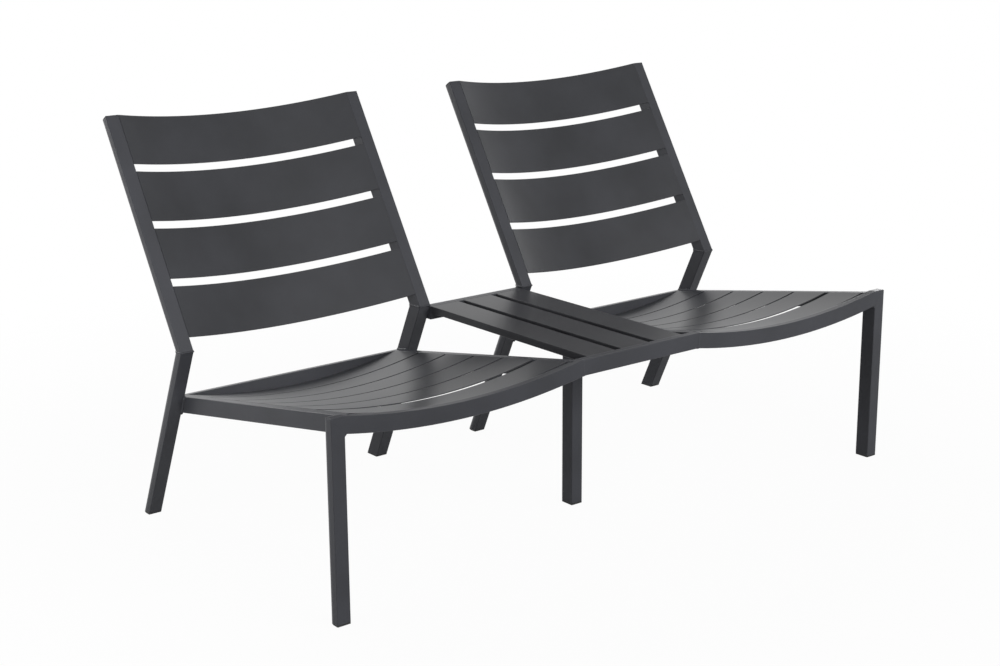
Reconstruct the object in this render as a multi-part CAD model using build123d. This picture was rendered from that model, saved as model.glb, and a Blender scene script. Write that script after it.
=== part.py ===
from build123d import *
import os
from math import acos, asin, cos, degrees, radians, sin, sqrt

# Double lounger: two low chairs joined by a level table, one welded aluminium frame on seven legs.
# Millimetres, X to the right, Y to the back, Z up; the origin is on the floor under the middle.
# Depths are measured back from the front face of the front legs, angles are in degrees.

# Layout of the whole piece
chair_pitch = 900.0           # middle of one seat to the middle of the other
seat_clear_width = 572.0      # between a chair's two back posts
table_height = 407.0          # top of the front rail, the table's rear rail and the elbows
elbow_depth = 558.0           # front face of a back post where it meets its rear leg
rear_foot_depth = 748.0       # front face of a rear leg at the floor
back_post_length = 534.5      # elbow to post top, along the front face
back_lean = 31.1              # of the back posts, from upright
seat_tilt = 10.26             # of the seats, down to the back
overrun = 80.0                # extra length that the mitre cuts remove

# Extrusion of the legs, posts and front rail: flat front and inner side, one rounded outer rear corner
leg_width = 30.0
leg_depth = 35.0
rail_height = 34.0
round_radius = 23.0           # of that corner
tube_wall = 2.0
edge_break = 1.0              # small chamfer along the sharp edges of every tube
corner_radius = 4.0           # outer top corner of a front leg and its rail
corner_bead = 6.0             # weld fillet under that corner
cap_thickness = 3.0           # plate that closes a back post

# Back slats
back_slats = 4
back_slat_width = 112.5
back_slat_gap = 17.5
back_slat_thickness = 3.5
back_sag = 50.0               # how far a slat bows backwards at its middle

# Seat frame and slats
seat_length = 663.0           # along the slope, from the front face plane to the rear rail's back
seat_rail_width = 20.0
seat_rail_height = 35.0
seat_sag = 27.0               # of the front rail and of every seat slat
rail_end_radius = 60.0        # bend that levels the front rail off before a front leg
seat_slats = 6
seat_slat_gap = 6.5
seat_front_gap = 16.0         # wider gap behind the first slat
seat_slat_thickness = 2.0
seat_lap = 9.0                # first slat over the rounded back of the front rail

# Table and its middle leg
table_slats = 3
table_slat_width = 78.0
table_slat_height = 16.0
table_slat_gap = 16.0
table_drop = 3.0              # of the slats, below the rails around them
table_lap = 18.0              # slats over the rounded back of the front rail
table_rail_depth = 20.0
middle_leg_depth = 34.0
middle_leg_setback = 205.0
cross_bar_thickness = 5.0
cross_bar_inset = 20.0        # from the outer edges of the slats, so that the bar stays out of sight

# Plastic glides under the legs
glide_height = 4.0
plug_length = 16.0
plug_clearance = 0.2

# Places worked out from the sizes above
half_clear = seat_clear_width / 2
chair_x = chair_pitch / 2
post_x = chair_x + half_clear
table_half = chair_x - half_clear - leg_width
side_flat = leg_depth - round_radius
back_reach = max(leg_depth, back_sag + back_slat_thickness)
post_top_depth = elbow_depth + back_post_length * sin(radians(back_lean))
overall_depth = post_top_depth + back_reach * cos(radians(back_lean))
front_y = -overall_depth / 2
across = Vector(1, 0, 0)
backwards = Vector(0, 1, 0)
upwards = Vector(0, 0, 1)
chair_middle = Plane(origin=(chair_x, 0, 0), x_dir=backwards, z_dir=across)


def arc_radius(half, sag):
    # Radius of an arc through two edges and a middle that hangs below them
    return (half**2 + sag**2) / (2 * sag)


def place(x, depth, height):
    return Vector(x, front_y + depth, height)


def keep_above(blank, plane):
    return split(blank, bisect_by=plane, keep=Keep.TOP)


def keep_below(blank, plane):
    return split(blank, bisect_by=plane, keep=Keep.BOTTOM)


def d_section(width, inset=0):
    # Inner side on local x 0, front on local y 0, outer rear corner rounded
    outer = width - inset
    rear = leg_depth - inset
    bend = CenterArc((width - round_radius, side_flat), round_radius - inset, 0, 90)
    sides = Polyline(bend @ 1, (inset, rear), (inset, inset), (outer, inset), bend @ 0)
    return make_face([bend, sides])


def d_outline(width):
    face = d_section(width)
    return chamfer(face.vertices().group_by(Axis.Y)[0], edge_break)


def d_tube(width):
    return d_outline(width) - d_section(width, tube_wall)


def box_hole(width, height, inset):
    corner = Pos(-inset, -inset)
    return corner * Rectangle(width - 2 * inset, height - 2 * inset, align=(Align.MAX, Align.MAX))


def box_outline(width, height):
    face = Rectangle(width, height, align=(Align.MAX, Align.MAX))
    return chamfer(face.vertices(), edge_break)


def box_tube(width, height):
    # Rectangular tube section that hangs from its corner of greatest x and y
    return box_outline(width, height) - box_hole(width, height, tube_wall)


def bowed_sheet(half, sag, thickness):
    # Section of a slat: its face sags between its ends, its back is concentric
    radius = arc_radius(half, sag)
    back_edge = radius - sag - sqrt((radius + thickness)**2 - half**2)
    face = ThreePointArc((-half, 0), (0, -sag), (half, 0))
    back = ThreePointArc((-half, back_edge), (0, -sag - thickness), (half, back_edge))
    return make_face([face, back, Line(face @ 0, back @ 0), Line(face @ 1, back @ 1)])


# Rear legs and back posts, drawn as the right chair's outer pair
foot = place(post_x, rear_foot_depth, 0)
elbow = place(post_x, elbow_depth, table_height)
leg_run = (elbow - foot).length
leg_up = (elbow - foot).normalized()
post_up = Vector(0, sin(radians(back_lean)), cos(radians(back_lean)))
elbow_mitre = Plane(origin=elbow, x_dir=across, z_dir=leg_up + post_up)
rear_leg_axis = Plane(origin=foot, x_dir=across, z_dir=leg_up)
post_axis = Plane(origin=elbow, x_dir=across, z_dir=post_up)
glide_top = Plane.XY.offset(glide_height)
plug_top = Plane.XY.offset(glide_height + plug_length)


def rear_leg():
    blank = extrude(rear_leg_axis.offset(-overrun) * d_tube(leg_width), leg_run + 2 * overrun)
    return keep_above(keep_below(blank, elbow_mitre), glide_top)


def back_post():
    tube_length = back_post_length - cap_thickness
    blank = extrude(post_axis.offset(-overrun) * d_tube(leg_width), tube_length + overrun)
    return keep_above(blank, elbow_mitre)


def post_cap():
    return extrude(post_axis.offset(back_post_length - cap_thickness) * d_outline(leg_width), cap_thickness)


def glide(axis, outline, plug_face):
    # Foot pad as large as its leg's section, with a plug that fills the tube above it
    pad = extrude(axis.offset(-overrun) * outline, 2 * overrun)
    pad = keep_below(keep_above(pad, Plane.XY), glide_top)
    plug = extrude(axis.offset(-overrun) * plug_face, 2 * overrun)
    return pad + keep_below(keep_above(plug, glide_top), plug_top)


def d_glide(axis):
    return glide(axis, d_outline(leg_width), d_section(leg_width, tube_wall + plug_clearance))


# Front rail, drawn from the middle to the right: an arc over the seat that kinks at the table end and
# levels off in a short bend before the front leg
rail_low = table_height - rail_height
rail_arc_radius = arc_radius(half_clear, seat_sag)
rail_kink = asin(half_clear / rail_arc_radius) / 2
rail_turn = acos(1 - seat_sag / (rail_arc_radius + rail_end_radius))
rail_level_x = chair_x + (rail_arc_radius + rail_end_radius) * sin(rail_turn)
inner_kink = Plane(origin=place(chair_x - half_clear, 0, table_height), x_dir=backwards,
                   z_dir=(cos(rail_kink), 0, -sin(rail_kink)))
corner_mitre = Plane(origin=place(post_x, 0, rail_low), x_dir=backwards,
                     z_dir=(rail_height, 0, -leg_width))
rail_back = Plane(origin=place(post_x, leg_depth, rail_low), x_dir=across,
                  z_dir=(0, rail_height, leg_depth - side_flat))


def straight_rail(face, x_from, x_to):
    end = Plane(origin=place(x_to, 0, rail_low), x_dir=upwards, z_dir=-across)
    return extrude(end * face, x_to - x_from)


def middle_rail(face):
    half = inner_kink.origin.X
    blank = straight_rail(face, -half - overrun, half + overrun)
    right_cut = keep_below(blank, inner_kink)
    return keep_below(right_cut, Plane(origin=place(-half, 0, table_height), x_dir=backwards,
                                       z_dir=(-cos(rail_kink), 0, -sin(rail_kink))))


def seat_rail(face):
    # The section turns about the arc's centre line above, then about the bend's centre line below
    arc_centre = Axis(place(chair_x, 0, table_height - seat_sag + rail_arc_radius), backwards)
    bend_centre = Axis(place(rail_level_x, 0, table_height - rail_end_radius), backwards)
    middle = Plane(origin=place(chair_x, 0, rail_low - seat_sag), x_dir=upwards, z_dir=-across)
    turn = degrees(rail_turn)
    spare_turn = degrees(rail_height / rail_arc_radius)
    arc_end = (middle * face).rotate(arc_centre, -turn)
    arc = revolve(arc_end, arc_centre, turn + 2 * degrees(rail_kink) + spare_turn)
    bend = revolve(arc_end, bend_centre, turn)
    level = straight_rail(face, rail_level_x, post_x + leg_width + overrun)
    return keep_below(keep_above(arc, inner_kink) + bend + level, corner_mitre)


def corner_waste():
    # What rounds the outer top corner off the rail and the leg
    r = corner_radius
    turn = ThreePointArc((0, -r), (-r + r * cos(radians(45)), -r + r * sin(radians(45))), (-r, 0))
    face = make_face([turn, Polyline((-r, 0), (0, 0), (0, -r))])
    corner = Plane(origin=place(post_x + leg_width, -overrun, table_height), x_dir=across, z_dir=-backwards)
    return extrude(corner * face, -leg_depth - 2 * overrun)


front_leg_axis = Plane(origin=place(post_x, 0, 0), x_dir=across, z_dir=upwards)


def front_leg(rail_blank):
    leg = extrude(front_leg_axis.offset(glide_height) * d_tube(leg_width), table_height + overrun)
    corner = Plane(origin=place(post_x, edge_break, rail_low), x_dir=across, z_dir=-backwards)
    triangle = make_face(Polyline((0, 0), (-corner_bead, 0), (0, -corner_bead), close=True))
    bead = extrude(corner * triangle, 2 * edge_break - leg_depth) - rail_blank
    return keep_above(leg, corner_mitre) - corner_waste() + bead


# Seat frame and slats, placed along the slope from the front face plane
seat_down = Vector(0, cos(radians(seat_tilt)), -sin(radians(seat_tilt)))
seat_normal = Vector(0, sin(radians(seat_tilt)), cos(radians(seat_tilt)))
seat_front = place(chair_x, 0, table_height)
seat_rear = seat_front + seat_down * seat_length
seat_mitre = Plane(origin=seat_rear + across * half_clear, x_dir=seat_normal, z_dir=across - seat_down)
slats_from = (leg_depth - seat_lap) / cos(radians(seat_tilt))
slats_to = seat_length - seat_rail_width
gaps_total = seat_front_gap + (seat_slats - 2) * seat_slat_gap
seat_slat_width = (slats_to - slats_from - gaps_total) / seat_slats


def seat_side_rail():
    # Mitred to the rear rail and cut back under the front rail
    end = Plane(origin=seat_rear + across * half_clear, x_dir=across, z_dir=-seat_down)
    blank = extrude(end * box_tube(seat_rail_width, seat_rail_height), seat_length - side_flat)
    return keep_above(keep_above(blank, seat_mitre), rail_back)


def seat_rear_rail():
    start = Plane(origin=seat_rear - across * half_clear, x_dir=seat_down, z_dir=across)
    blank = extrude(start * box_tube(seat_rail_width, seat_rail_height), seat_clear_width)
    right_cut = keep_below(blank, seat_mitre)
    return keep_below(right_cut, Plane(origin=seat_rear - across * half_clear, x_dir=seat_normal,
                                       z_dir=-across - seat_down))


def seat_slat(number, rail_blank):
    # Numbered from the front; the first one is scribed to the rounded back of the front rail
    start = slats_from + number * (seat_slat_width + seat_slat_gap)
    if number > 0:
        start += seat_front_gap - seat_slat_gap
    end = Plane(origin=seat_front + seat_down * (start + seat_slat_width), x_dir=across, z_dir=-seat_down)
    sheet = bowed_sheet(half_clear - seat_rail_width, seat_sag, seat_slat_thickness)
    blank = extrude(end * sheet, seat_slat_width)
    return blank - rail_blank if number == 0 else blank


def back_slat(number):
    # Numbered from the top
    top = back_post_length - number * (back_slat_width + back_slat_gap)
    end = Plane(origin=place(chair_x, elbow_depth, table_height) + post_up * top, x_dir=across, z_dir=-post_up)
    return extrude(end * bowed_sheet(half_clear, back_sag, back_slat_thickness), back_slat_width)


# Table between the chairs
table_pitch = table_slat_width + table_slat_gap
slat_block = table_slats * table_slat_width + (table_slats - 1) * table_slat_gap
slats_front = leg_depth - table_lap
slat_top = table_height - table_drop
slat_low = slat_top - table_slat_height


def table_slat(number, rail_blank):
    # Numbered from the left; scribed to the rounded back of the front rail
    right_edge = -slat_block / 2 + number * table_pitch + table_slat_width
    end = Plane(origin=place(right_edge, elbow_depth, slat_top), x_dir=across, z_dir=-backwards)
    blank = extrude(end * box_tube(table_slat_width, table_slat_height), elbow_depth - slats_front)
    return blank - rail_blank


def table_rear_rail():
    rear = place(-table_half, elbow_depth + table_rail_depth, table_height)
    start = Plane(origin=rear, x_dir=backwards, z_dir=across)
    return extrude(start * box_tube(table_rail_depth, rail_height), 2 * table_half)


def table_cross_bar():
    half = slat_block / 2 - cross_bar_inset
    rear = place(half, middle_leg_setback + middle_leg_depth, slat_low - cross_bar_thickness)
    bar = Plane(origin=rear, x_dir=across, z_dir=upwards)
    return extrude(bar * box_outline(2 * half, middle_leg_depth), cross_bar_thickness)


middle_axis = Plane(origin=place(leg_width / 2, middle_leg_setback + middle_leg_depth, 0),
                    x_dir=across, z_dir=upwards)


def middle_leg():
    height = slat_low - cross_bar_thickness - glide_height
    return extrude(middle_axis.offset(glide_height) * box_tube(leg_width, middle_leg_depth), height)


def middle_glide():
    plug_face = box_hole(leg_width, middle_leg_depth, tube_wall + plug_clearance)
    return glide(middle_axis, box_outline(leg_width, middle_leg_depth), plug_face)


# Every piece by its node name
pieces = {}


def add_both_chairs(name, piece):
    pieces[name.format(side="right")] = piece
    pieces[name.format(side="left")] = mirror(piece, about=Plane.YZ)


def add_four(name, piece):
    # The right chair's outer piece, its inner twin, and both again on the left chair
    add_both_chairs(name.format(side="{side}", place="outer"), piece)
    add_both_chairs(name.format(side="{side}", place="inner"), mirror(piece, about=chair_middle))


seat_rail_blank = seat_rail(d_outline(rail_height))
middle_rail_blank = middle_rail(d_outline(rail_height))

pieces["front_rail_middle"] = middle_rail(d_tube(rail_height))
add_both_chairs("front_rail_{side}", seat_rail(d_tube(rail_height)) - corner_waste())
add_both_chairs("front_leg_{side}", front_leg(seat_rail_blank))
add_both_chairs("glide_front_{side}", d_glide(front_leg_axis))
add_four("rear_leg_{side}_{place}", rear_leg())
add_four("back_post_{side}_{place}", back_post())
add_four("post_cap_{side}_{place}", post_cap())
add_four("glide_rear_{side}_{place}", d_glide(rear_leg_axis))
add_both_chairs("seat_side_rail_{side}_outer", seat_side_rail() - seat_rail_blank)
add_both_chairs("seat_side_rail_{side}_inner", mirror(seat_side_rail(), about=chair_middle) - seat_rail_blank)
add_both_chairs("seat_rear_rail_{side}", seat_rear_rail())
for number in range(back_slats):
    add_both_chairs(f"back_slat_{{side}}_{number + 1}", back_slat(number))
for number in range(seat_slats):
    add_both_chairs(f"seat_slat_{{side}}_{number + 1}", seat_slat(number, seat_rail_blank))
for number in range(table_slats):
    pieces[f"table_slat_{number + 1}"] = table_slat(number, middle_rail_blank)
pieces["table_rear_rail"] = table_rear_rail()
pieces["table_cross_bar"] = table_cross_bar()
pieces["middle_leg"] = middle_leg()
pieces["glide_middle"] = middle_glide()

os.makedirs("parts", exist_ok=True)
for name, piece in pieces.items():
    export_step(piece, f"parts/{name}.step")
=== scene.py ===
# Two low lounge chairs on one frame with a slatted table between them: coat, welds, glides, studio
import math
import bpy
import numpy as np
from mathutils import Matrix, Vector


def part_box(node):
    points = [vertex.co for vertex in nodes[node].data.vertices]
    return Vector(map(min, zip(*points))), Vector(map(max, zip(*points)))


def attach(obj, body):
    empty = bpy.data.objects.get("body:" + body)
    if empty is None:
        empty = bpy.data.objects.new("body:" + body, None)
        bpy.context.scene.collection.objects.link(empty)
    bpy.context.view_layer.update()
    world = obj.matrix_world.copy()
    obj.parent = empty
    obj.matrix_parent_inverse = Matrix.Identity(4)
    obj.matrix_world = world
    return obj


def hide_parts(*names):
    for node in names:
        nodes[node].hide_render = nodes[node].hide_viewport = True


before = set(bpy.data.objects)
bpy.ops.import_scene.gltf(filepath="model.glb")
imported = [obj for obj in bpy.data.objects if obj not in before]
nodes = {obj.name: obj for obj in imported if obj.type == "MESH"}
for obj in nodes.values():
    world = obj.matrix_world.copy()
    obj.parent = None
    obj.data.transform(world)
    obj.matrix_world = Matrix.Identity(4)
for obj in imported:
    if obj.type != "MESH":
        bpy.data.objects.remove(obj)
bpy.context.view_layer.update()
print("frame loaded:", len(nodes), "nodes")


# Shader maths: a Wire is one output socket, and + - * between wires and numbers add Math nodes
class Wire:
    def __init__(self, tree, socket):
        self.tree = tree
        self.socket = socket

    def __add__(self, other):
        return self.tree.maths("ADD", self, other)

    def __sub__(self, other):
        return self.tree.maths("SUBTRACT", self, other)

    def __rsub__(self, other):
        return self.tree.maths("SUBTRACT", other, self)

    def __mul__(self, other):
        return self.tree.maths("MULTIPLY", self, other)

    __radd__ = __add__
    __rmul__ = __mul__


class Shader:
    # The node tree of a material or of the world
    def __init__(self, owner):
        owner.use_nodes = True
        self.nodeTree = owner.node_tree
        self.nodeTree.nodes.clear()

    def node(self, kind, settings=None, sockets=None, output=0):
        # Any node by its type: settings first, then a value or a wire for each socket
        made = self.nodeTree.nodes.new(kind)
        for name, value in (settings or {}).items():
            if name == "stops":
                for element, (position, shade) in zip(made.color_ramp.elements, value):
                    element.position = position
                    element.color = (shade, shade, shade, 1)
            else:
                setattr(made, name, value)
        for name, value in (sockets or {}).items():
            if isinstance(value, Wire):
                self.nodeTree.links.new(value.socket, made.inputs[name])
            else:
                made.inputs[name].default_value = value
        return Wire(self, made.outputs[output]) if len(made.outputs) else made

    def maths(self, operation, first, second):
        return self.node("ShaderNodeMath", {"operation": operation}, {0: first, 1: second})

    def ramp(self, value, start, end):
        # Two stops, each a position and a shade from 0 to 1, with a straight run between them
        return self.node("ShaderNodeValToRGB", {"stops": (start, end)}, {"Fac": value})

    def place(self):
        return self.node("ShaderNodeTexCoord", output="Object")

    def noise(self, place, scale, detail, roughness):
        return self.node("ShaderNodeTexNoise", {}, {
            "Vector": place, "Scale": scale, "Detail": detail, "Roughness": roughness})

    def blend(self, share, first, second):
        # A Mix node set to colours has them at sockets 6 and 7, and the result at output 2
        return self.node("ShaderNodeMix", {"data_type": "RGBA"},
                         {0: share, 6: first, 7: second}, output=2)

    def skin(self, colour, roughness, height, relief, gloss=None):
        # The surface itself; relief is the bump's strength and its depth in metres
        strength, depth = relief
        bump = self.node("ShaderNodeBump", {},
                         {"Strength": strength, "Distance": depth, "Height": height})
        surface = self.node("ShaderNodeBsdfPrincipled", {}, {
            "Base Color": colour, "Roughness": roughness, "Normal": bump, **(gloss or {})})
        self.node("ShaderNodeOutputMaterial", {}, {"Surface": surface})


def grey(red, green, blue):
    # A colour read off in 0 to 255 display steps, as the linear values that a socket takes
    def linear(step):
        value = step / 255
        return value / 12.92 if value <= 0.04045 else ((value + 0.055) / 1.055) ** 2.4
    return (linear(red), linear(green), linear(blue), 1.0)


# Powder coat: satin anthracite with a fine orange-peel skin, slightly cloudy from piece to piece
coat = {
    "frame": {"dark": grey(63, 64, 68), "light": grey(71, 72, 77), "roughness": 0.34},
    "slats": {"dark": grey(56, 57, 60), "light": grey(65, 66, 70), "roughness": 0.32},
    "table": {"dark": grey(58, 58, 61), "light": grey(67, 68, 71), "roughness": 0.30},
    "cloud": {"scale": 7.0, "detail": 3.0, "roughness": 0.5},
    "speck": {"scale": 3800.0, "detail": 1.0, "roughness": 0.5},
    "peel": {"scale": 900.0, "detail": 2.0, "roughness": 0.45},
    "cloudShare": 0.7,               # of the tone, the rest is speck
    "toneRange": (0.35, 0.65),       # where the tone is all dark, and all light
    "peelShare": 0.8,                # of the relief, the rest is speck
    "relief": (0.35, 0.00006),       # strength, and depth in metres
    "roughnessSpread": 0.07,
    "gloss": {"Specular IOR Level": 0.15, "IOR": 1.5},
}


def powderCoat(name, tone):
    material = bpy.data.materials.new(name)
    paint = Shader(material)
    place = paint.place()
    cloud, speck, peel = (paint.noise(place, **coat[part]) for part in ("cloud", "speck", "peel"))
    darkAt, lightAt = coat["toneRange"]
    mottle = cloud * coat["cloudShare"] + speck * (1 - coat["cloudShare"])
    share = paint.ramp(mottle, (darkAt, 0.0), (lightAt, 1.0))
    colour = paint.blend(share, tone["dark"], tone["light"])
    roughness = tone["roughness"] + (cloud - 0.5) * coat["roughnessSpread"]
    height = peel * coat["peelShare"] + speck * (1 - coat["peelShare"])
    paint.skin(colour, roughness, height, coat["relief"], coat["gloss"])
    return material


glidePlastic = {
    "dark": grey(24, 24, 25), "light": grey(38, 38, 40), "roughness": 0.55,
    "grain": {"scale": 1600.0, "detail": 2.0, "roughness": 0.5},
    "relief": (0.4, 0.0001),
    "scuffTop": 0.0015,              # how high the scuffing reaches
    "scuffGrain": 0.8,               # how much the grain breaks it up
    "scuffStart": 0.3,               # height over scuffTop where it starts to fade
    "scuffRoughness": 0.2,
}


def mouldedPlastic(name):
    # Black moulded nylon, a little greyer where it scrapes the floor
    material = bpy.data.materials.new(name)
    paint = Shader(material)
    place = paint.place()
    height = paint.node("ShaderNodeSeparateXYZ", {}, {"Vector": place}, output="Z")
    grain = paint.noise(place, **glidePlastic["grain"])
    worn = height * (1 / glidePlastic["scuffTop"]) + grain * glidePlastic["scuffGrain"]
    scuff = paint.ramp(worn, (glidePlastic["scuffStart"], 1.0), (1.0, 0.0))
    colour = paint.blend(scuff, glidePlastic["dark"], glidePlastic["light"])
    roughness = glidePlastic["roughness"] + scuff * glidePlastic["scuffRoughness"]
    paint.skin(colour, roughness, grain, glidePlastic["relief"])
    return material


coats = {slot: powderCoat(f"{slot}Coat", coat[slot]) for slot in ("frame", "slats", "table")}
coats["glides"] = mouldedPlastic("glidePlastic")
print("materials made:", len(coats))


# Every CAD piece keeps its mesh. Modifiers ease its edges, as a coat rounds them
easing = {
    "widths": {"frame": 0.0005, "slats": 0.0006, "table": 0.0005, "glides": 0.0005},
    "joinWithin": 0.00001,
    "segments": 2,
    "sharpFrom": 28,                 # degrees between two faces
    "flatWeight": 90,                # how far a flat face overrules the bevel beside it in shading
}


def easeEdges(piece, width):
    weld = piece.modifiers.new("join", "WELD")
    weld.merge_threshold = easing["joinWithin"]
    bevel = piece.modifiers.new("edge", "BEVEL")
    bevel.width = width
    bevel.segments = easing["segments"]
    bevel.limit_method = "ANGLE"
    bevel.angle_limit = math.radians(easing["sharpFrom"])
    shading = piece.modifiers.new("shading", "WEIGHTED_NORMAL")
    shading.mode = "FACE_AREA"
    shading.weight = easing["flatWeight"]


for piece in nodes.values():
    slot = piece.material_slots[0].material.name
    piece.material_slots[0].material = coats[slot]
    easeEdges(piece, easing["widths"][slot])
print("CAD pieces finished")


# Where the joints are, in metres and degrees: the sizes of the CAD, for both chairs and both sides
layout = {
    "chairMiddle": 0.45, "halfClear": 0.286, "front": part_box("front_leg_left")[0].y, "top": 0.407,
    "elbowDepth": 0.558, "rearFootDepth": 0.748, "postLength": 0.5345,
    "backLean": 31.1, "seatTilt": 10.26, "seatSag": 0.027,
    "section": (0.030, 0.035), "railHeight": 0.034, "roundRadius": 0.023, "chamfer": 0.001,
}
xAxis, yAxis, zAxis = np.eye(3)
joints = [(chair * layout["chairMiddle"], side) for chair in (-1, 1) for side in (-1, 1)]


def leaning(degreesBack):
    # Unit vectors along a tube that leans back from upright, and square to it towards the back
    turn = math.radians(degreesBack)
    sine, cosine = math.sin(turn), math.cos(turn)
    return np.array((0, sine, cosine)), np.array((0, cosine, -sine))


def at(x, depth, height):
    # Points of the frame, with their depth from the front of the legs
    return np.stack(np.broadcast_arrays(x, layout["front"] + depth, height), -1)


def unit(vector):
    return vector / np.linalg.norm(vector)


legShift = layout["elbowDepth"] - layout["rearFootDepth"]
postUp, postBack = leaning(layout["backLean"])
legUp, legBack = leaning(math.degrees(math.atan2(legShift, layout["top"])))
seatNormal, seatDown = leaning(layout["seatTilt"])


def tube(rings, loop):
    # A closed skin over rings of points, capped at both ends or run round a loop. Its faces point
    # outwards: where its volume, the sum of (a - middle) . (b - a) x (c - a), comes out below 0,
    # the rings are turned round
    count, points = rings.shape[:2]
    following = np.roll(rings, -1, 0) if loop else rings[1:]
    current = rings if loop else rings[:-1]
    across = np.roll(current, -1, 1) - current
    volume = np.einsum("rpk,rpk->", current - rings.mean((0, 1)),
                       np.cross(across, following - current))
    if volume < 0:
        rings = rings[:, ::-1]
    ring = np.arange(len(current))[:, None] * points
    ahead = (ring + points) % (count * points)
    point = np.arange(points)[None, :]
    turn = (point + 1) % points
    quads = np.stack([ring + point, ring + turn, ahead + turn, ahead + point], -1).reshape(-1, 4)
    caps = np.vstack([point[:, ::-1], point + (count - 1) * points])
    return rings.reshape(-1, 3), quads, caps[:0] if loop else caps


def addPiece(name, tubes):
    # One smooth piece from many tubes, riding on the frame
    vertices = np.concatenate([points for points, quads, caps in tubes])
    faces = []
    start = 0
    for points, quads, caps in tubes:
        faces += (quads + start).tolist() + (caps + start).tolist()
        start += len(points)
    mesh = bpy.data.meshes.new(name)
    mesh.from_pydata(vertices.tolist(), [], faces)
    mesh.polygons.foreach_set("use_smooth", [True] * len(faces))
    mesh.materials.append(coats["frame"])
    piece = bpy.data.objects.new(name, mesh)
    bpy.context.scene.collection.objects.link(piece)
    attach(piece, "root")
    return piece


# The rear rail of the table lies flush with the slats that end on it
rearRail = {"half": 0.134, "front": 0.558, "rear": 0.578, "low": 0.373, "top": 0.404,
            "chamfer": 0.001}


def tableRearRail():
    # A rectangle with all four corners cut, run straight across
    front, rear, low, top, cut = (
        rearRail[key] for key in ("front", "rear", "low", "top", "chamfer"))
    depths = np.array((front + cut, rear - cut, rear, rear, rear - cut, front + cut, front, front))
    heights = np.array((low, low, low + cut, top - cut, top, top, top - cut, low + cut))
    ends = np.array((-rearRail["half"], rearRail["half"]))
    return tube(at(ends[:, None], depths, heights), False)


rail = addPiece("tableRearRail", [tableRearRail()])
easeEdges(rail, easing["widths"]["frame"])
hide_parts("table_rear_rail")
print("table rail made")


# Fillet welds: a bead in the corner of two walls, with the ripples of a hand-laid seam. What has
# no length of its own is a share of the bead's size
bead = {
    "ripple": 0.0021,                # length of one ripple
    "ringsEach": 5,
    "across": 6,                     # points from wall to wall
    "rippleHeight": 0.1,
    "crescent": 0.5,                 # how far a ripple's middle runs ahead, in ripples
    "bulge": 0.24,
    "sink": 0.1,                     # of the edges into the walls
    "root": 0.25,                    # how deep the closing edge lies
    "endSize": 0.1,                  # what is left of the bead at its very ends
    "unevenness": 0.05,
    "wander": (310, 90),             # radians a metre along the bead, and by where it starts
}


def fillet(start, end, wallOne, wallTwo, size):
    # Each ring runs from one wall over the bulging face to the other wall, and closes inside the
    # metal. Its radius is size x a quarter-round taper at the ends x (1 - ripples + slow wander)
    length = np.linalg.norm(end - start)
    along = (end - start) / length
    ripples = max(3, round(length / bead["ripple"]))
    way = np.linspace(0, 1, ripples * bead["ringsEach"] + 1)
    reach = np.clip(np.minimum(way, 1 - way) * length / size, 0, 1)
    taper = np.maximum(np.sqrt(1 - (1 - reach)**2), bead["endSize"])
    beat = np.abs(np.sin(np.pi * way * ripples))
    pitch, shift = bead["wander"]
    wander = np.sin(way * length * pitch + start.sum() * shift)
    radius = 1 - bead["rippleHeight"] * (1 - beat) + bead["unevenness"] * wander
    radius *= size * taper
    share = np.linspace(0, 1, bead["across"])[:, None]
    hump = 4 * share * (1 - share)
    face = ((1 - share) * wallOne + share * wallTwo) * (1 + bead["bulge"] * hump)
    face -= bead["sink"] * (1 - hump) * (wallOne + wallTwo)
    profile = np.vstack([face, -bead["root"] * (wallOne + wallTwo)])
    drift = np.vstack([hump, [[0]]]) * bead["crescent"] * bead["ripple"] * along
    centre = start + (way * length)[:, None] * along
    rings = centre[:, None] + radius[:, None, None] * profile + taper[:, None, None] * drift
    return tube(rings, False)


def sheetBack(half, sag, thickness):
    # How far behind its face a bowed sheet's back meets the wall, and the slope of the back there.
    # The arc's radius is (half^2 + sag^2) / 2 sag
    radius = (half**2 + sag**2) / (2 * sag)
    drop = math.sqrt((radius + thickness)**2 - half**2)
    return drop - radius + sag, math.atan2(half, drop)


# Back slats to posts, behind: along the slat's back edge, which leaves the post at its arc's slope
backWeld = {"slats": 4, "width": 0.1125, "gap": 0.0175, "sag": 0.050, "thickness": 0.0035,
            "size": 0.0042, "run": (0.10, 0.90)}


def backSlatWelds():
    behind, slope = sheetBack(layout["halfClear"], backWeld["sag"], backWeld["thickness"])
    made = []
    for middle, side in joints:
        elbow = at(middle + side * layout["halfClear"], layout["elbowDepth"], layout["top"])
        edge = elbow + behind * postBack
        slatBack = math.cos(slope) * -side * xAxis + math.sin(slope) * postBack
        for number in range(backWeld["slats"]):
            top = layout["postLength"] - number * (backWeld["width"] + backWeld["gap"])
            ends = [edge + (top - share * backWeld["width"]) * postUp for share in backWeld["run"]]
            made.append(fillet(*ends, postBack, slatBack, backWeld["size"]))
    return made


# Seat slats to side rails, below. The first gap is wider than the rest
seatWeld = {"slats": 6, "width": 0.095763, "start": 0.026422, "gap": 0.0065, "frontGap": 0.016,
            "thickness": 0.002, "railWidth": 0.020, "size": 0.0036, "run": (0.12, 0.88)}


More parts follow.
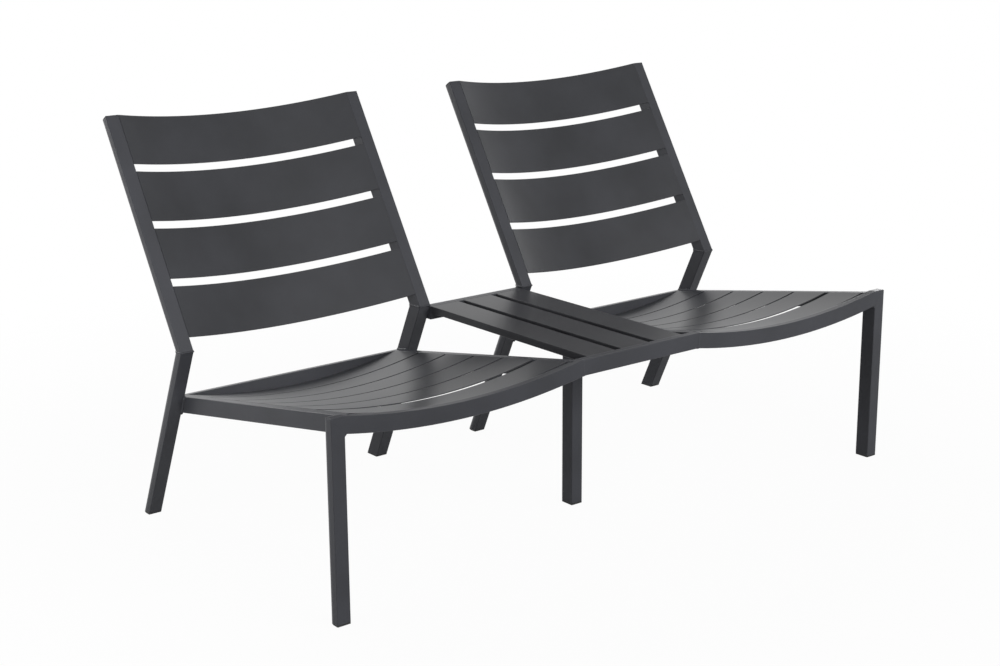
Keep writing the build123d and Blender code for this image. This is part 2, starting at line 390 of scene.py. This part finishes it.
def seatSlatWelds():
    half = layout["halfClear"] - seatWeld["railWidth"]
    below, slope = sheetBack(half, layout["seatSag"], seatWeld["thickness"])
    made = []
    for middle, side in joints:
        edge = at(middle + side * half, 0, layout["top"]) - below * seatNormal
        slatBack = math.cos(slope) * -side * xAxis - math.sin(slope) * seatNormal
        for number in range(seatWeld["slats"]):
            start = seatWeld["start"] + number * (seatWeld["width"] + seatWeld["gap"])
            start += (number > 0) * (seatWeld["frontGap"] - seatWeld["gap"])
            ends = [edge + (start + share * seatWeld["width"]) * seatDown
                    for share in seatWeld["run"]]
            made.append(fillet(*ends, -seatNormal, slatBack, seatWeld["size"]))
    return made


# Side rails to rear legs, front legs and rear rails. Depths run along the slope of the seat, and
# drops are below the rail's top
railWeld = {
    "size": 0.0045, "railWidth": 0.020, "railHeight": 0.035,
    "legTop": (0.6194, 0.6600),      # where the rear leg crosses the rail's top edge
    "legLow": (0.6400, 0.6620),      # and its lower edge
    "cornerRun": 0.0042,             # how far the bead down the leg passes that lower edge
    "rearRail": 0.643, "rearDrops": (0.004, 0.033), "rearSize": 0.0036,
    "frontDrops": (0.010, 0.033), "frontSize": 0.003375,
}


def sideRailWelds():
    made = []
    size = railWeld["size"]
    legTop, legLow = railWeld["legTop"], railWeld["legLow"]
    for middle, side in joints:
        outward = side * xAxis
        corner = at(middle + side * layout["halfClear"], 0, layout["top"])
        low = corner - railWeld["railHeight"] * seatNormal
        topEnds = [corner + depth * seatDown for depth in legTop]
        lowEnds = [low + depth * seatDown for depth in legLow]
        passed = low + (legLow[0] + railWeld["cornerRun"]) * seatDown
        made.append(fillet(topEnds[0], passed, outward, -legBack, size))
        made.append(fillet(*topEnds, seatNormal, -outward, size))
        made.append(fillet(*lowEnds, -seatNormal, -outward, size))
        inner = corner - railWeld["railWidth"] * outward + railWeld["rearRail"] * seatDown
        ends = [inner - drop * seatNormal for drop in railWeld["rearDrops"]]
        made.append(fillet(*ends, -seatDown, -outward, railWeld["rearSize"]))
        if abs(middle + side) > 1:   # the outer side of a chair, where a front leg stands
            leg = at(middle + side * layout["halfClear"], layout["section"][1], layout["top"])
            ends = [leg - drop * zAxis for drop in railWeld["frontDrops"]]
            made.append(fillet(*ends, outward, yAxis, railWeld["frontSize"]))
    return made


# Table slats to both rails, and the bar under them to slats and middle leg
tableWeld = {
    "slatLefts": (-0.133, -0.039, 0.055), "slatWidth": 0.078, "slatLow": 0.388, "margin": 0.008,
    "frontDepth": 0.03465, "rearDepth": 0.558, "size": 0.004,
    "barFront": 0.205, "barRear": 0.239, "barLow": 0.383, "barHalf": 0.113, "barSize": 0.0036,
    "legHalf": 0.015, "legMargin": 0.002,
}


def tableWelds():
    made = []
    for left in tableWeld["slatLefts"]:
        ends = np.array((left, left + tableWeld["slatWidth"]))
        ends += np.array((1, -1)) * tableWeld["margin"]
        onBar = np.clip(ends, -tableWeld["barHalf"], tableWeld["barHalf"])
        for run, depth, outward, size in (
                (ends, tableWeld["rearDepth"], -yAxis, tableWeld["size"]),
                (ends, tableWeld["frontDepth"], yAxis, tableWeld["size"]),
                (onBar, tableWeld["barFront"], -yAxis, tableWeld["barSize"]),
                (onBar, tableWeld["barRear"], yAxis, tableWeld["barSize"])):
            made.append(fillet(*at(run, depth, tableWeld["slatLow"]), outward, -zAxis, size))
    depths = np.array((tableWeld["barFront"] + tableWeld["legMargin"],
                       tableWeld["barRear"] - tableWeld["legMargin"]))
    for side in (-1, 1):
        ends = at(side * tableWeld["legHalf"], depths, tableWeld["barLow"])
        made.append(fillet(*ends, side * xAxis, -zAxis, tableWeld["size"]))
    return made


addPiece("weldsBackSlats", backSlatWelds())
addPiece("weldsSeatSlats", seatSlatWelds())
addPiece("weldsSideRails", sideRailWelds())
addPiece("weldsTable", tableWelds())
print("welds laid")


# Mitred joints are welded and dressed almost flat: a low crown runs round the section on the mitre
seam = {
    "across": 7,                     # points over the crown
    "around": 144,                   # points round a section
    "bendPoints": 24,
    "halfWidth": 0.0025, "elbowCrown": 0.0012, "kinkCrown": 0.0002,
    "cornerHalf": 0.0011, "cornerCrown": 0.0001, "cornerRun": (0.04, 0.94), "cornerPoints": 60,
    "underHalf": 0.0060, "underCrown": 0.0011, "underMargin": 0.002, "underPoints": 40,
    "sink": 0.0002,                  # of the edges into the metal
    "floor": 0.0012,                 # how deep the closed underside lies
    "feet": (0.5, -0.5),             # where it lies, as shares of the half width
    "hollowFill": 0.45,              # of an inward fold
    "ripple": 0.0024, "rippleShare": 0.25,
}


def sectionOutline(width):
    # Points along the leg's section, evenly spaced, and their outward normals. The section has
    # chamfered front corners and a quarter-round rear corner on its outer side
    depth, radius, cut = layout["section"][1], layout["roundRadius"], layout["chamfer"]
    angles = np.linspace(0, math.pi / 2, seam["bendPoints"])
    bend = np.stack([width - radius + radius * np.cos(angles),
                     depth - radius + radius * np.sin(angles)], 1)
    corners = np.vstack([[(cut, 0), (width - cut, 0), (width, cut)], bend,
                         [(0, depth), (0, cut), (cut, 0)]])
    steps = np.linalg.norm(np.diff(corners, axis=0), axis=1)
    lengths = np.concatenate([[0], np.cumsum(steps)])
    spaced = np.linspace(0, lengths[-1], seam["around"], endpoint=False)
    outline = np.stack([np.interp(spaced, lengths, corners[:, axis]) for axis in (0, 1)], 1)
    ahead = np.roll(outline, -1, 0) - np.roll(outline, 1, 0)
    normals = np.stack([ahead[:, 1], -ahead[:, 0]], 1)
    return outline, normals / np.linalg.norm(normals, axis=1)[:, None]


def crownedSeam(path, normals, sideways, fold, half, crown, loop):
    # Height over the mitre is crown x (1 + ripple) x (1 - reach^2), less the sink of the edges,
    # plus fold x half x |reach|. Fold is how fast both surfaces rise from the mitre, or fall from
    # it where it is below 0. An inward fold is partly filled
    normals = np.broadcast_to(normals, path.shape)
    fold = np.broadcast_to(fold, len(path))[:, None]
    reach = np.linspace(-1, 1, seam["across"])
    step = np.linalg.norm(path[1] - path[0])
    beat = np.sin(np.arange(len(path)) * step * 2 * math.pi / seam["ripple"])[:, None]
    height = crown * (1 + seam["rippleShare"] * beat) * (1 - reach**2) - seam["sink"] * reach**4
    hollow = seam["hollowFill"] + (1 - seam["hollowFill"]) * reach**2
    height = height + fold * half * np.where(fold > 0, hollow, np.abs(reach))
    outer = (path[:, None] + height[..., None] * normals[:, None]
             + (reach * half)[None, :, None] * sideways)
    inner = (path[:, None] - seam["floor"] * normals[:, None]
             + (np.array(seam["feet"]) * half)[None, :, None] * sideways)
    return tube(np.concatenate([outer, inner], 1), loop)


def mitreRing(corner, outAxis, depthAxis, stretch, width, foldAxis, slope, crown):
    # The section's outline laid on the mitre plane from corner, where its local zero is. Stretch
    # lengthens its two axes by the slant of the mitre, and slope is the tangent of half the bend
    outline, normals = sectionOutline(width)
    path = corner + outline[:, :1] * stretch[0] * outAxis + outline[:, 1:] * stretch[1] * depthAxis
    facing = normals[:, :1] * outAxis + normals[:, 1:] * depthAxis
    sideways = np.cross(outAxis, depthAxis)
    return crownedSeam(path, facing, sideways, slope * facing @ foldAxis, seam["halfWidth"], crown,
                       True)


def elbowSeams():
    # Round the mitre of each rear leg and its post, which halves the angle between them
    mitreUp = unit(legUp + postUp)
    mitreBack = np.array((0, mitreUp[2], -mitreUp[1]))
    cosine = postUp @ mitreUp
    made = []
    for middle, side in joints:
        elbow = at(middle + side * layout["halfClear"], layout["elbowDepth"], layout["top"])
        made.append(mitreRing(elbow, side * xAxis, mitreBack, (1, 1 / cosine),
                              layout["section"][0], mitreBack, math.tan(math.acos(cosine)),
                              seam["elbowCrown"]))
    return made


def frontRailSeams():
    # Round each kink beside the table with a heavier bead below it, and down each front corner.
    # The arc over a seat leaves the kink at asin(halfClear / radius), and the mitre halves that
    halfClear, sag = layout["halfClear"], layout["seatSag"]
    depth, railHeight = layout["section"][1], layout["railHeight"]
    kink = math.asin(halfClear / ((halfClear**2 + sag**2) / (2 * sag))) / 2
    made = []
    for side in (-1, 1):
        upright = np.array((side * math.sin(kink), 0, math.cos(kink)))
        low = at(side * (layout["chairMiddle"] - halfClear), 0, layout["top"])
        low -= railHeight / math.cos(kink) * upright
        made.append(mitreRing(low, upright, yAxis, (1 / math.cos(kink), 1), railHeight, -upright,
                              math.tan(kink), seam["kinkCrown"]))
        way = np.linspace(seam["underMargin"], depth - seam["underMargin"], seam["underPoints"])
        made.append(crownedSeam(low + way[:, None] * yAxis, -upright, np.cross(upright, yAxis),
                                math.tan(kink), seam["underHalf"], seam["underCrown"], False))
        inner = at(side * (layout["chairMiddle"] + halfClear), 0, layout["top"] - railHeight)
        run = np.array((side * layout["section"][0], 0, railHeight))
        way = np.linspace(*seam["cornerRun"], seam["cornerPoints"])
        made.append(crownedSeam(inner + way[:, None] * run, -yAxis, unit(np.cross(run, yAxis)), 0,
                                seam["cornerHalf"], seam["cornerCrown"], False))
    return made


addPiece("seamsFrame", elbowSeams() + frontRailSeams())
print("seams dressed")


# Studio: a pale floor and backdrop, soft lamps, and the photograph's camera
studio = {
    "floorReach": 30.0,
    "floorColour": (0.6, 0.6, 0.6, 1.0),
    "nearSeen": 0.965,               # share of plain white in the floor near the object, as the
    "nearMirrored": 0.45,            # camera sees it and as the object mirrors it
    "shadowReach": (0.9, 2.2),       # metres from the middle over which it turns all white
    "ambient": 0.03,
    "lamps": {                       # place, target, width, height, watts
        "frontLamp": ((1.0, -5.3, 2.85), (0.0, 0.0, 0.4), 7.6, 3.0, 280.0),
        "leftLamp": ((-1.75, -0.1, 0.75), (-0.7, -0.1, 0.4), 0.8, 0.8, 7.0),
        "highLamp": ((0.1, -1.9, 2.8), (0.0, 0.0, 0.4), 2.0, 2.0, 10.0),
        "backLamp": ((-0.7, 2.9, 1.3), (0.0, 0.0, 0.5), 2.2, 1.4, 46.0),
        "rightLamp": ((3.0, 0.7, 0.8), (0.0, 0.0, 0.5), 1.4, 1.4, 24.0),
    },
    "camera": (-2.3568, -2.9388, 1.3648),
    "yaw": -0.6701,
    "pitchDown": 0.2648,
    "roll": -0.0063,
    "lens": 62.01,
    "sensor": 36.0,
}
white = (1, 1, 1, 1)


def seen(tree):
    # 1 for rays from the camera
    return tree.node("ShaderNodeLightPath", output="Is Camera Ray")


def mirrored(tree):
    # 1 for mirrored and for refracted rays
    return tree.maths("MAXIMUM", tree.node("ShaderNodeLightPath", output="Is Glossy Ray"),
                      tree.node("ShaderNodeLightPath", output="Is Transmission Ray"))


def seenWhite(tree):
    # 1 for all the rays that show the white backdrop
    return tree.maths("MAXIMUM", seen(tree), mirrored(tree))


def whiteFloor():
    # Near the object a part of the white is held back, so that the floor keeps a soft shadow
    reach = studio["floorReach"]
    mesh = bpy.data.meshes.new("floor")
    mesh.from_pydata([(-reach, -reach, 0), (reach, -reach, 0), (reach, reach, 0),
                      (-reach, reach, 0)], [], [(0, 1, 2, 3)])
    floor = bpy.data.objects.new("floor", mesh)
    bpy.context.scene.collection.objects.link(floor)
    material = bpy.data.materials.new("paleFloor")
    paint = Shader(material)
    matt = paint.node("ShaderNodeBsdfDiffuse", {}, {"Color": studio["floorColour"]})
    glow = paint.node("ShaderNodeEmission", {}, {"Color": white, "Strength": 1.0})
    distance = paint.node("ShaderNodeVectorMath", {"operation": "LENGTH"}, {0: paint.place()},
                          output="Value")
    near, far = studio["shadowReach"]
    outwards = paint.ramp(distance * (1 / far), (near / far, 0.0), (1.0, 1.0))
    hidden = (seen(paint) * (1 - studio["nearSeen"])
              + mirrored(paint) * (1 - studio["nearMirrored"]))
    share = seenWhite(paint) - hidden * (1 - outwards)
    mixed = paint.node("ShaderNodeMixShader", {}, {0: share, 1: matt, 2: glow})
    paint.node("ShaderNodeOutputMaterial", {}, {"Surface": mixed})
    mesh.materials.append(material)


def paleWorld():
    world = bpy.data.worlds.new("studio")
    bpy.context.scene.world = world
    sky = Shader(world)
    strength = seenWhite(sky) * (1 - studio["ambient"]) + studio["ambient"]
    glow = sky.node("ShaderNodeBackground", {}, {"Color": white, "Strength": strength})
    sky.node("ShaderNodeOutputWorld", {}, {"Surface": glow})


def aim(towards):
    # Rotation whose -Z points along the vector and whose Y leans up
    back = -unit(towards)
    right = unit(np.cross((0, 0, 1), back))
    return Matrix(np.stack([right, np.cross(back, right), back], 1).tolist())


def addLamp(name, place, target, width, height, watts):
    lamp = bpy.data.lights.new(name, "AREA")
    lamp.shape = "RECTANGLE"
    lamp.size = width
    lamp.size_y = height
    lamp.energy = watts
    holder = bpy.data.objects.new(name, lamp)
    towards = np.array(target) - np.array(place)
    holder.matrix_world = Matrix.Translation(place) @ aim(towards).to_4x4()
    bpy.context.scene.collection.objects.link(holder)


def photoCamera():
    data = bpy.data.cameras.new("camera")
    data.lens = studio["lens"]
    data.sensor_width = studio["sensor"]
    camera = bpy.data.objects.new("camera", data)
    turn = (Matrix.Rotation(studio["yaw"], 4, "Z")
            @ Matrix.Rotation(math.pi / 2 - studio["pitchDown"], 4, "X")
            @ Matrix.Rotation(studio["roll"], 4, "Z"))
    camera.matrix_world = Matrix.Translation(studio["camera"]) @ turn
    bpy.context.scene.collection.objects.link(camera)
    bpy.context.scene.camera = camera


whiteFloor()
paleWorld()
for lampName, lampSetting in studio["lamps"].items():
    addLamp(lampName, *lampSetting)
photoCamera()
bpy.context.scene.view_settings.view_transform = "Standard"
print("studio set")
